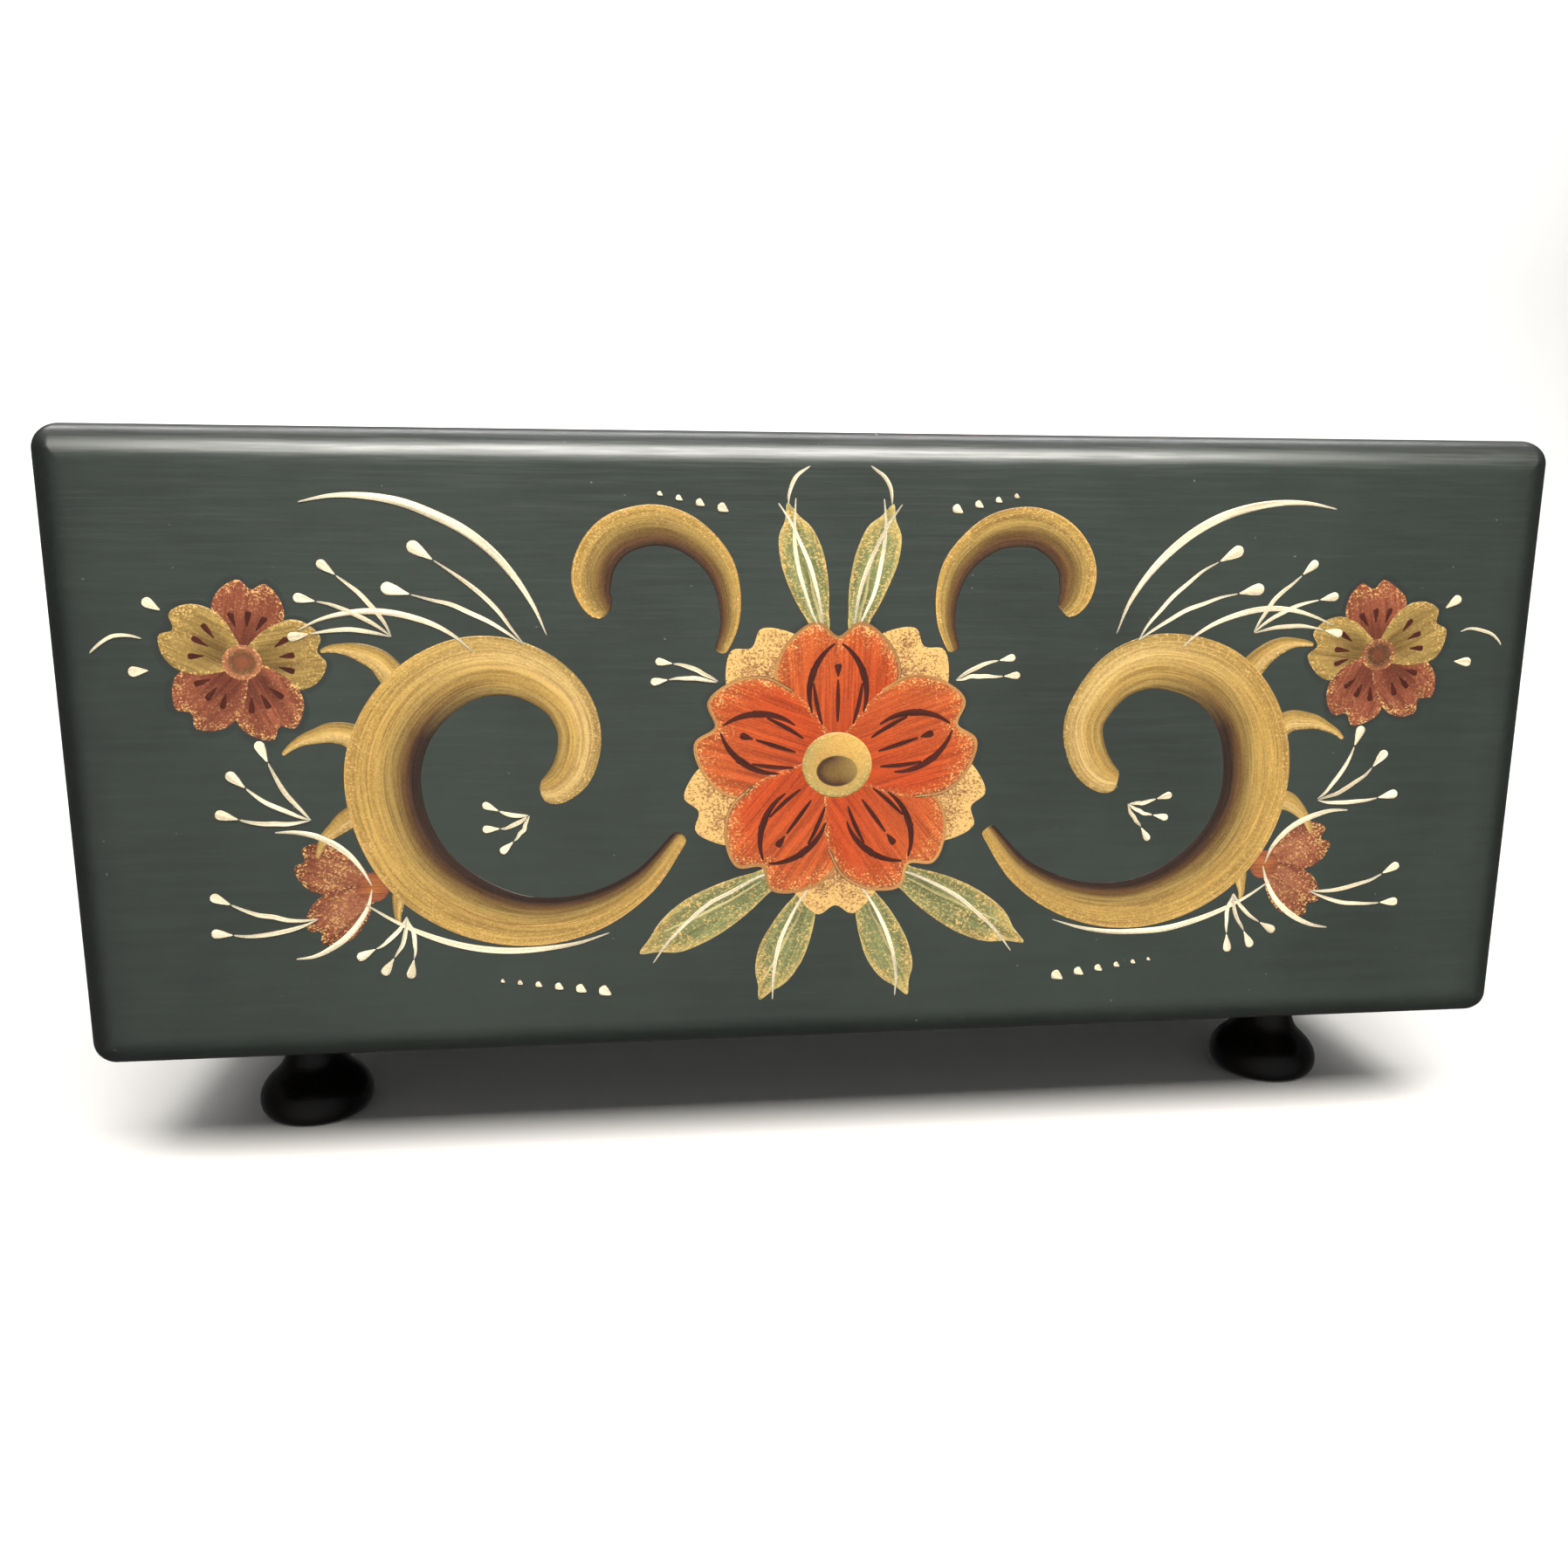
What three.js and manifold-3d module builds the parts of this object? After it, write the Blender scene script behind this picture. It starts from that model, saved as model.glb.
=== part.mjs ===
// A painted wooden box tray on four turned feet, in millimetres, +Z up.
// Two long boards and two end boards are butted and dowelled, a bottom panel sits in a groove run round
// their inner faces, and each foot is held by a round-head screw driven down through the panel.
// The origin is on the ground, under the middle of the tray. The decorated long board faces -Y.
import * as THREE from "three";
import { mergeVertices } from "three/addons/utils/BufferGeometryUtils.js";
import Module from "manifold-3d";

const wasm = await Module();
wasm.setup();

// Driving dimensions.
const LENGTH = 390; // outside, along X
const DEPTH = 210; // outside, along Y
const BOARD_HEIGHT = 163; // each wall, from its lower edge to the rim
const WALL = 19; // thickness of every wall
const FACE_ROUND = 9.5; // 3/8 inch round-over on the long boards' outer faces
const CORNER_ROUND = 6.5; // the walls' outline, and the end boards' long outer edges
const CORNER_LEAST = 0.5; // left at the corners where the round-over meets itself
const RIM_ROUND = 3; // softened inner edge of the rim
const PANEL_THICK = 12;
const GROOVE_DEPTH = 6; // how far the panel enters each wall
const GROOVE_SLACK = 0.5; // room above the panel and at its edges
const LIP = 6; // wall left below the groove
const GROUND_CLEARANCE = 33; // from the ground to the walls' lower edge
const FOOT_INSET_X = 46; // from the ends' outside faces to each foot's axis
const FOOT_INSET_Y = 48; // from the long boards' outside faces to each foot's axis
const DOWEL_RADIUS = 4;
const DOWEL_IN_LONG = 12; // into the long board's inner face
const DOWEL_IN_END = 18; // into the end board's end grain
const DOWEL_SLACK = 0.2; // round the dowel
const DOWEL_END_SLACK = 0.5; // glue space past each dowel's ends
const DOWEL_HEIGHTS = [36, 81, 126]; // above the walls' lower edge
const SCREW_RADIUS = 2;
const SCREW_LENGTH = 30; // under the head
const SCREW_HEAD_RADIUS = 4.4;
const SCREW_HEAD_HEIGHT = 2.8;
const SCREW_SLACK = 0.3;
const SLOT_WIDTH = 1.1;
const SLOT_DEPTH = 1.2;
const WASHER_RADIUS = 7;
const WASHER_THICK = 1.2;
const CORNER_STEPS = 8; // facets on each quarter round
const TURNING_STEPS = 32; // facets round a turned foot
const SMALL_STEPS = 20; // facets round dowels, screws and washers

// Levels and faces that follow from them.
const INNER_X = LENGTH / 2 - WALL;
const INNER_Y = DEPTH / 2 - WALL;
const PANEL_LOW = GROUND_CLEARANCE + LIP;
const PANEL_TOP = PANEL_LOW + PANEL_THICK;
const RIM = GROUND_CLEARANCE + BOARD_HEIGHT;
const MIDDLE = GROUND_CLEARANCE + BOARD_HEIGHT / 2;
const FOOT_HEIGHT = PANEL_LOW;
const HEAD_LOW = PANEL_TOP + WASHER_THICK;

const greenPaint = new THREE.MeshStandardMaterial({ color: 0x39403a, roughness: 0.45 });
const blackPaint = new THREE.MeshStandardMaterial({ color: 0x100f0e, roughness: 0.3 });
const bareWood = new THREE.MeshStandardMaterial({ color: 0xc49a66, roughness: 0.8 });
const brass = new THREE.MeshStandardMaterial({ color: 0xb08d4a, roughness: 0.35, metalness: 1 });

// Closed three.js geometry to a manifold solid and back, so that pieces can be cut.
function solidOf(geometry) {
  const bare = geometry.clone();
  for (const name of ["normal", "uv"]) bare.deleteAttribute(name);
  const merged = mergeVertices(bare, 1e-4);
  const mesh = new wasm.Mesh({
    numProp: 3,
    vertProperties: merged.attributes.position.array,
    triVerts: new Uint32Array(merged.index.array),
  });
  return new wasm.Manifold(mesh);
}

function geometryOf(solid) {
  const mesh = solid.getMesh();
  const geometry = new THREE.BufferGeometry();
  geometry.setAttribute("position", new THREE.BufferAttribute(mesh.vertProperties, 3));
  geometry.setIndex(new THREE.BufferAttribute(mesh.triVerts, 1));
  geometry.computeVertexNormals();
  return geometry;
}

function cut(geometry, cutters) {
  let solid = solidOf(geometry);
  for (const cutter of cutters) solid = solid.subtract(solidOf(cutter));
  return geometryOf(solid);
}

// A box given by its lowest and highest corner.
function boxBetween(low, high) {
  const size = high.map((value, i) => value - low[i]);
  const box = new THREE.BoxGeometry(...size);
  return box.translate(...low.map((value, i) => value + size[i] / 2));
}

// A turned piece round Z: profile is [radius, height] points, from the axis at the foot to the axis at the top.
function turned(profile, steps) {
  const points = profile.map(([radius, height]) => new THREE.Vector2(radius, height));
  return new THREE.LatheGeometry(points, steps).rotateX(Math.PI / 2);
}

// The rounded rectangle, width by height in X and Z, drawn in by inset, as loop points at depth y.
function boardLoop(width, height, inset, y) {
  const loop = [];
  const radius = Math.max(CORNER_ROUND - inset, CORNER_LEAST);
  const reach = [width / 2 - inset - radius, height / 2 - inset - radius];
  const quarters = [[1, 1], [-1, 1], [-1, -1], [1, -1]];
  quarters.forEach(([signX, signZ], quarter) => {
    for (let step = 0; step <= CORNER_STEPS; step++) {
      const angle = ((quarter + step / CORNER_STEPS) * Math.PI) / 2;
      const x = signX * reach[0] + radius * Math.cos(angle);
      const z = signZ * reach[1] + radius * Math.sin(angle);
      loop.push([x, y, z]);
    }
  });
  return loop;
}

// A long board with its round-over on the outer face, which is at y = 0 and looks along -Y.
function longBoard() {
  const loops = [];
  for (let step = 0; step <= CORNER_STEPS; step++) {
    const angle = ((step / CORNER_STEPS) * Math.PI) / 2;
    const inset = FACE_ROUND * (1 - Math.sin(angle));
    loops.push(boardLoop(LENGTH, BOARD_HEIGHT, inset, FACE_ROUND * (1 - Math.cos(angle))));
  }
  loops.push(boardLoop(LENGTH, BOARD_HEIGHT, 0, WALL));
  const size = loops[0].length;
  const positions = loops.flat();
  const front = positions.push([0, 0, 0]) - 1;
  const back = positions.push([0, WALL, 0]) - 1;
  const index = [];
  for (let i = 0; i < size; i++) {
    const j = (i + 1) % size;
    index.push(front, i, j);
    const last = (loops.length - 1) * size;
    index.push(back, last + j, last + i);
    for (let row = 0; row < loops.length - 1; row++) {
      const a = row * size + i;
      const b = row * size + j;
      index.push(a, a + size, b, b, a + size, b + size);
    }
  }
  const geometry = new THREE.BufferGeometry();
  geometry.setAttribute("position", new THREE.Float32BufferAttribute(positions.flat(), 3));
  geometry.setIndex(index);
  return geometry;
}

// What a round-over bit takes off the edge at the origin, along X, where the wood is at +y and -z of the edge.
function rimCutter(length) {
  const profile = new THREE.Shape();
  const spare = 1; // past the wood on both sides, so no faces coincide
  profile.moveTo(RIM_ROUND, 0);
  profile.absarc(RIM_ROUND, -RIM_ROUND, RIM_ROUND, Math.PI / 2, Math.PI, false);
  profile.lineTo(-spare, -RIM_ROUND);
  profile.lineTo(-spare, spare);
  profile.lineTo(RIM_ROUND, spare);
  const cutter = new THREE.ExtrudeGeometry(profile, {
    depth: length,
    bevelEnabled: false,
    curveSegments: CORNER_STEPS,
  });
  const turn = new THREE.Matrix4().set(0, 0, 1, -length / 2, 1, 0, 0, 0, 0, 1, 0, 0, 0, 0, 0, 1);
  return cutter.applyMatrix4(turn);
}

// The dowel holes of one corner, along Y from fromY to toY.
function dowelHoles(x, fromY, toY) {
  return DOWEL_HEIGHTS.map((height) => {
    const hole = new THREE.CylinderGeometry(
      DOWEL_RADIUS + DOWEL_SLACK,
      DOWEL_RADIUS + DOWEL_SLACK,
      Math.abs(toY - fromY),
      SMALL_STEPS,
    );
    return hole.translate(x, (fromY + toY) / 2, GROUND_CLEARANCE + height);
  });
}

const DOWEL_X = LENGTH / 2 - WALL / 2;

// The front long board in place. Its groove stops behind the end boards, so it shows nowhere outside.
function frontBoard() {
  const groove = boxBetween(
    [-INNER_X - GROOVE_DEPTH - GROOVE_SLACK, -INNER_Y - GROOVE_DEPTH - GROOVE_SLACK, PANEL_LOW],
    [INNER_X + GROOVE_DEPTH + GROOVE_SLACK, -INNER_Y + 1, PANEL_TOP + GROOVE_SLACK],
  );
  const rim = rimCutter(2 * INNER_X);
  rim.rotateZ(Math.PI).translate(0, -INNER_Y, RIM);
  const deepest = -INNER_Y - DOWEL_IN_LONG - DOWEL_END_SLACK;
  const holes = [-DOWEL_X, DOWEL_X].flatMap((x) => dowelHoles(x, deepest, -INNER_Y + 1));
  const board = longBoard().translate(0, -DEPTH / 2, MIDDLE);
  return cut(board, [groove, rim, ...holes]);
}

// The right-hand end board in place, between the long boards.
function rightEndBoard() {
  const inner = INNER_X;
  const outer = LENGTH / 2;
  const section = new THREE.Shape();
  section.moveTo(inner, GROUND_CLEARANCE);
  section.lineTo(outer - CORNER_ROUND, GROUND_CLEARANCE);
  section.absarc(outer - CORNER_ROUND, GROUND_CLEARANCE + CORNER_ROUND, CORNER_ROUND, -Math.PI / 2, 0);
  section.absarc(outer - CORNER_ROUND, RIM - CORNER_ROUND, CORNER_ROUND, 0, Math.PI / 2);
  section.absarc(inner + RIM_ROUND, RIM - RIM_ROUND, RIM_ROUND, Math.PI / 2, Math.PI);
  section.closePath();
  const board = new THREE.ExtrudeGeometry(section, {
    depth: 2 * INNER_Y,
    bevelEnabled: false,
    curveSegments: CORNER_STEPS,
  });
  const stand = new THREE.Matrix4().set(1, 0, 0, 0, 0, 0, -1, INNER_Y, 0, 1, 0, 0, 0, 0, 0, 1);
  board.applyMatrix4(stand);
  const groove = boxBetween(
    [inner - 1, -INNER_Y - 1, PANEL_LOW],
    [inner + GROOVE_DEPTH + GROOVE_SLACK, INNER_Y + 1, PANEL_TOP + GROOVE_SLACK],
  );
  const deepest = INNER_Y - DOWEL_IN_END - DOWEL_END_SLACK;
  const holes = [-1, 1].flatMap((side) => dowelHoles(DOWEL_X, side * (INNER_Y + 1), side * deepest));
  return cut(board, [groove, ...holes]);
}

// Where the four feet stand.
const FOOT_X = LENGTH / 2 - FOOT_INSET_X;
const FOOT_Y = DEPTH / 2 - FOOT_INSET_Y;
const FEET = [
  ["front_left", -FOOT_X, -FOOT_Y],
  ["front_right", FOOT_X, -FOOT_Y],
  ["back_left", -FOOT_X, FOOT_Y],
  ["back_right", FOOT_X, FOOT_Y],
];

function bottomPanel() {
  const reachX = INNER_X + GROOVE_DEPTH;
  const reachY = INNER_Y + GROOVE_DEPTH;
  const panel = boxBetween([-reachX, -reachY, PANEL_LOW], [reachX, reachY, PANEL_TOP]);
  const holes = FEET.map(([, x, y]) => {
    const radius = SCREW_RADIUS + SCREW_SLACK;
    const hole = new THREE.CylinderGeometry(radius, radius, PANEL_THICK + 2, SMALL_STEPS);
    return hole.rotateX(Math.PI / 2).translate(x, y, PANEL_LOW + PANEL_THICK / 2);
  });
  return cut(panel, holes);
}

// A turned foot: a flat base, a wide bun, a slim neck, and a bead and collar under the panel.
const FOOT_PROFILE = [
  [0, 0],
  [14, 0],
  [15.2, 0.7],
  [16, 2],
  [16.4, 4],
  [16.3, 6],
  [15.7, 7.8],
  [14.6, 9.5],
  [13.1, 11.1],
  [11.4, 12.7],
  [9.9, 14.5],
  [8.8, 16.8],
  [8.2, 19.5],
  [8.1, 22.5],
  [8.5, 25.5],
  [9.4, 28.2],
  [10.8, 30.6],
  [11.4, 31.2],
  [12.4, 32.2],
  [12.8, 33.8],
  [12.4, 35.4],
  [11.5, 36.2],
  [11.5, FOOT_HEIGHT],
  [0, FOOT_HEIGHT],
];

function foot() {
  const radius = SCREW_RADIUS + SCREW_SLACK;
  const depth = SCREW_LENGTH - (HEAD_LOW - PANEL_LOW) + 3; // 3 mm past the screw's tip
  const hole = new THREE.CylinderGeometry(radius, radius, depth + 2, SMALL_STEPS);
  hole.rotateX(Math.PI / 2).translate(0, 0, FOOT_HEIGHT - depth / 2 + 1);
  return cut(turned(FOOT_PROFILE, TURNING_STEPS), [hole]);
}

// A slotted round-head wood screw, its head seated at z = 0 and its shank pointing down.
function screw() {
  const thread = [];
  const pitch = 3;
  const ridges = 5;
  const root = SCREW_RADIUS - 0.5;
  const taper = 5; // length of the point
  for (let i = 0; i < ridges; i++) {
    const low = taper + i * pitch - SCREW_LENGTH;
    thread.push([root, low], [SCREW_RADIUS, low + pitch * 0.4], [root, low + pitch * 0.8]);
  }
  const dome = [];
  const domeSteps = 6;
  for (let i = 0; i < domeSteps; i++) {
    const angle = ((i / domeSteps) * Math.PI) / 2;
    dome.push([SCREW_HEAD_RADIUS * Math.cos(angle), SCREW_HEAD_HEIGHT * Math.sin(angle)]);
  }
  const profile = [
    [0, -SCREW_LENGTH],
    ...thread,
    [SCREW_RADIUS, -SCREW_LENGTH + taper + ridges * pitch],
    [SCREW_RADIUS, 0],
    ...dome,
    [0, SCREW_HEAD_HEIGHT],
  ];
  const slot = boxBetween(
    [-SCREW_HEAD_RADIUS - 1, -SLOT_WIDTH / 2, SCREW_HEAD_HEIGHT - SLOT_DEPTH],
    [SCREW_HEAD_RADIUS + 1, SLOT_WIDTH / 2, SCREW_HEAD_HEIGHT + 1],
  );
  return cut(turned(profile, SMALL_STEPS), [slot]);
}

function washer() {
  const inner = SCREW_RADIUS + SCREW_SLACK;
  const edge = 0.3; // broken edge
  const profile = [
    [inner, 0],
    [WASHER_RADIUS, 0],
    [WASHER_RADIUS, WASHER_THICK - edge],
    [WASHER_RADIUS - edge, WASHER_THICK],
    [inner, WASHER_THICK],
    [inner, 0],
  ];
  return turned(profile, SMALL_STEPS);
}

// A dowel along Y, with broken ends, its middle at the origin.
function dowel() {
  const half = (DOWEL_IN_LONG + DOWEL_IN_END) / 2;
  const edge = 1;
  const profile = [
    [0, -half],
    [DOWEL_RADIUS - edge, -half],
    [DOWEL_RADIUS, -half + edge],
    [DOWEL_RADIUS, half - edge],
    [DOWEL_RADIUS - edge, half],
    [0, half],
  ];
  return turned(profile, SMALL_STEPS).rotateX(Math.PI / 2);
}

const tray = new THREE.Group();

function add(name, geometry, material, position = [0, 0, 0]) {
  const mesh = new THREE.Mesh(geometry, material);
  mesh.name = name;
  mesh.position.set(...position);
  tray.add(mesh);
}

const longGeometry = frontBoard();
const endGeometry = rightEndBoard();
add("front_board", longGeometry, greenPaint);
add("back_board", longGeometry.clone().rotateZ(Math.PI), greenPaint);
add("right_end_board", endGeometry, greenPaint);
add("left_end_board", endGeometry.clone().rotateZ(Math.PI), greenPaint);
add("bottom_panel", bottomPanel(), greenPaint);

const footGeometry = foot();
const screwGeometry = screw();
const washerGeometry = washer();
for (const [corner, x, y] of FEET) {
  add("foot_" + corner, footGeometry, blackPaint, [x, y, 0]);
  add("foot_washer_" + corner, washerGeometry, brass, [x, y, PANEL_TOP]);
  add("foot_screw_" + corner, screwGeometry, brass, [x, y, HEAD_LOW]);
}

const dowelGeometry = dowel();
const dowelMiddle = INNER_Y + (DOWEL_IN_LONG - DOWEL_IN_END) / 2;
for (const [corner, x, y] of FEET) {
  DOWEL_HEIGHTS.forEach((height, i) => {
    const place = [Math.sign(x) * DOWEL_X, Math.sign(y) * dowelMiddle, GROUND_CLEARANCE + height];
    add("dowel_" + corner + "_" + (i + 1), dowelGeometry, bareWood, place);
  });
}

export default tray;
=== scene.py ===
"""The look of the footed, painted tray box, in metres, in the CAD frame: +Z up, the decorated front faces -Y.

The boards and feet are rebuilt with finer roundings over their CAD nodes. The decoration is real paint: every
brush stroke is its own closed body, a few hundredths of a millimetre thick, laid on the front board in the
order a painter would. Strokes are placed in millimetres from the middle of the board's lower edge.
"""

import math

import bpy
import numpy as np
from mathutils import Matrix, Vector


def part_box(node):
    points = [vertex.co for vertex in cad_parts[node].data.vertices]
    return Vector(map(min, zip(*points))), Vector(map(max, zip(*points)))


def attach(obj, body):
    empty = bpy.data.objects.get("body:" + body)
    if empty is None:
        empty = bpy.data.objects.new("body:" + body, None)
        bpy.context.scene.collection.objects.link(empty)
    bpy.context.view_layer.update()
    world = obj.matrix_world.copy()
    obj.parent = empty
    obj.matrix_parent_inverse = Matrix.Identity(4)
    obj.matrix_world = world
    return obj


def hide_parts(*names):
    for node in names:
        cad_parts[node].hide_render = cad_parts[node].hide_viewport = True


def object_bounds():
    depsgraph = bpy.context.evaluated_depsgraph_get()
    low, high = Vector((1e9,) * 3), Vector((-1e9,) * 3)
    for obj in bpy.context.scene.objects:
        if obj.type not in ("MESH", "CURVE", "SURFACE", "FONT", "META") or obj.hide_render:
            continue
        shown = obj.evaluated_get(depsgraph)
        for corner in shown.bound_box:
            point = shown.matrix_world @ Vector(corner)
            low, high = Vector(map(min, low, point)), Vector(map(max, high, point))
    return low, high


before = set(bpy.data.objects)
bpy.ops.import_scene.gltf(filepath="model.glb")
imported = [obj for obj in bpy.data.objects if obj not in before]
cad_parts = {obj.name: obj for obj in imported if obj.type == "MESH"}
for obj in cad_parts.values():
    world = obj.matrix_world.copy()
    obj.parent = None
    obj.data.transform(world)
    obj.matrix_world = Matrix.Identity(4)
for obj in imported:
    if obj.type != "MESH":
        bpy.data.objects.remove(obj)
CAD_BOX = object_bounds()

BOARD_LOW, BOARD_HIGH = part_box("front_board")
MM = 0.001


# ---------------------------------------------------------------- colours and shader nodes


def colour(text):
    """An sRGB hex colour as linear numbers."""
    parts = [int(text[i : i + 2], 16) / 255 for i in (0, 2, 4)]
    return tuple(p / 12.92 if p <= 0.04045 else ((p + 0.055) / 1.055) ** 2.4 for p in parts)


class Shader:
    """A material being wired up. Any input takes a plain value or another node's socket."""

    def __init__(self, name):
        self.material = bpy.data.materials.new(name)
        self.material.use_nodes = True
        self.tree = self.material.node_tree
        self.tree.nodes.clear()
        self.surface = self.add("ShaderNodeBsdfPrincipled")
        output = self.add("ShaderNodeOutputMaterial")
        self.tree.links.new(self.surface.outputs[0], output.inputs[0])

    def add(self, kind, inputs=None, **settings):
        made = self.tree.nodes.new(kind)
        for key, value in settings.items():
            setattr(made, key, value)
        for key, value in (inputs or {}).items():
            self.set(made.inputs[key], value)
        return made

    def set(self, socket, value):
        if isinstance(value, bpy.types.NodeSocket):
            self.tree.links.new(value, socket)
        elif isinstance(value, tuple) and len(value) == 3 and socket.type == "RGBA":
            socket.default_value = (*value, 1)
        else:
            socket.default_value = value

    def place(self):
        """Where a point lies in the row frame, in metres."""
        return self.add("ShaderNodeTexCoord").outputs["Object"]

    def attribute(self, name, output="Vector"):
        return self.add("ShaderNodeAttribute", attribute_name=name).outputs[output]

    def stretch(self, vector, scales):
        made = self.add("ShaderNodeVectorMath", {0: vector, 1: scales}, operation="MULTIPLY")
        return made.outputs[0]

    def split(self, vector):
        return self.add("ShaderNodeSeparateXYZ", {0: vector}).outputs

    def noise(self, vector, scale=1.0, detail=2.0, roughness=0.5):
        inputs = {"Vector": vector, "Scale": scale, "Detail": detail, "Roughness": roughness}
        return self.add("ShaderNodeTexNoise", inputs).outputs[0]

    def math(self, operation, a, b=0.0, clamp=False):
        made = self.add("ShaderNodeMath", {0: a, 1: b}, operation=operation, use_clamp=clamp)
        return made.outputs[0]

    def span(self, value, low, high, to_low=0.0, to_high=1.0):
        """value carried smoothly from low..high to to_low..to_high."""
        inputs = {"Value": value, "From Min": low, "From Max": high, "To Min": to_low, "To Max": to_high}
        return self.add("ShaderNodeMapRange", inputs, interpolation_type="SMOOTHSTEP").outputs[0]

    def mix(self, factor, a, b, blend="MIX"):
        made = self.add("ShaderNodeMix", data_type="RGBA", blend_type=blend, clamp_factor=True)
        self.set(made.inputs[0], factor)
        self.set(made.inputs[6], a)
        self.set(made.inputs[7], b)
        return made.outputs[2]

    def finish(self, base, roughness, height=None, depth=0.0001, **values):
        """Wires the surface. height is a bump field that depth metres tall paint would show."""
        self.set(self.surface.inputs["Base Color"], base)
        self.set(self.surface.inputs["Roughness"], roughness)
        for key, value in values.items():
            label = {"specular_ior_level": "Specular IOR Level"}.get(key, key.replace("_", " ").title())
            self.surface.inputs[label].default_value = value
        if height is not None:
            bump = self.add("ShaderNodeBump", {"Height": height, "Distance": depth, "Strength": 1.0})
            self.set(self.surface.inputs["Normal"], bump.outputs[0])
        return self.material


# ---------------------------------------------------------------- the green ground

GREEN = colour("1e2721")
GREEN_PALE = colour("2c352d")
GREEN_DEEP = colour("1a221c")
DUST = colour("6d7269")
WORN = colour("452c20")
# near-black used as painted shade and dark reflection towards the board's edges
EDGE_SHADE = colour("0f110e")
CHIP = colour("b8b19f")


def green_ground(s, grain):
    """The green paint's colour, roughness and bump height. grain squeezes a point along the brush."""
    place = s.place()
    along = s.stretch(place, grain)
    strokes = s.noise(along, 1.0, 4, 0.6)
    hairs = s.noise(s.stretch(along, (1.7, 3.3, 3.3)), 1.0, 3, 0.6)
    clouds = s.noise(place, 14, 3, 0.5)
    base = s.mix(s.span(strokes, 0.3, 0.7), GREEN_DEEP, GREEN)
    base = s.mix(s.span(clouds, 0.35, 0.7, 0.0, 0.45), base, GREEN_PALE)
    base = s.mix(s.span(hairs, 0.55, 0.8, 0.0, 0.25), base, GREEN_PALE)
    specks = s.noise(place, 620, 1, 0.4)
    base = s.mix(s.span(specks, 0.78, 0.82, 0.0, 0.5), base, DUST)
    height = s.math("ADD", s.math("MULTIPLY", strokes, 0.7), s.math("MULTIPLY", hairs, 0.3))
    roughness = s.span(hairs, 0.35, 0.7, 0.3, 0.42)
    return base, roughness, height


ALONG_X = (28.0, 420.0, 420.0)
ALONG_Y = (420.0, 28.0, 420.0)


def edge_wear_and_shade(s, base, half, low, high):
    """Rubs the paint through to brown wood along a board's upright edges and rim, with a few pale chips. It
    also paints shade: the green darkens towards the upright edges, the rim and the lower edge, with a random
    darker mottle.
    """
    place = s.place()
    x, _, z = s.split(place)
    from_side = s.math("SUBTRACT", half, s.math("ABSOLUTE", x))
    from_rim = s.math("MINIMUM", s.math("SUBTRACT", high, z), s.math("SUBTRACT", z, low))
    near = s.math("MINIMUM", from_side, s.math("MULTIPLY", from_rim, 2.5))
    rub = s.noise(place, 90, 4, 0.65)
    mottle = s.math("MULTIPLY", s.math("SUBTRACT", rub, 0.5), 0.6)
    # painted shade: the green darkens towards the upright edges, the rim and the lower edge, standing in for
    # the shade and dark reflection on their roundings; the random mottle adds darker patches of paint all
    # over
    painted_shade = s.math("ADD", s.span(near, 0.0, 0.017, 0.85, 0.0), mottle)
    base = s.mix(painted_shade, base, EDGE_SHADE)
    edge = s.span(near, 0.0, 0.008, 0.25, 0.0)
    worn = s.span(s.math("ADD", rub, edge), 0.80, 0.92, 0.0, 0.8)
    base = s.mix(worn, base, WORN)
    nick = s.noise(place, 260, 2, 0.5)
    chip = s.span(s.math("ADD", nick, s.math("MULTIPLY", edge, 0.5)), 0.86, 0.88)
    return s.mix(chip, base, CHIP)


def green_paint(name, grain, worn):
    s = Shader(name)
    base, roughness, height = green_ground(s, grain)
    # worn boards get rubbed edges, pale chips and painted shade towards their edges
    if worn:
        low, high = CAD_BOX[0], CAD_BOX[1]
        base = edge_wear_and_shade(s, base, high.x, BOARD_LOW.z, high.z)
    return s.finish(base, roughness, height, 0.00005, specular_ior_level=0.9)


def black_paint():
    s = Shader("black_gloss")
    place = s.place()
    turning = s.noise(s.stretch(place, (60, 60, 900)), 1.0, 3, 0.5)
    smears = s.noise(place, 70, 3, 0.5)
    base = s.mix(s.span(smears, 0.4, 0.75), colour("060504"), colour("110d0a"))
    nicks = s.noise(place, 330, 2, 0.5)
    base = s.mix(s.span(nicks, 0.74, 0.78), base, colour("3a2a20"))
    return s.finish(base, s.span(smears, 0.3, 0.7, 0.2, 0.34), turning, 0.00006, specular_ior_level=0.22)


def bare_wood():
    s = Shader("bare_birch")
    fibres = s.noise(s.stretch(s.place(), (900, 60, 900)), 1.0, 4, 0.6)
    base = s.mix(fibres, colour("b98c58"), colour("dcb684"))
    return s.finish(base, 0.7, fibres, 0.0001)


def old_brass():
    s = Shader("old_brass")
    tarnish = s.noise(s.place(), 300, 4, 0.6)
    base = s.mix(s.span(tarnish, 0.35, 0.7), colour("b08d4a"), colour("6d5128"))
    return s.finish(base, s.span(tarnish, 0.3, 0.7, 0.25, 0.5), tarnish, 0.00003, metallic=1.0)


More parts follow.
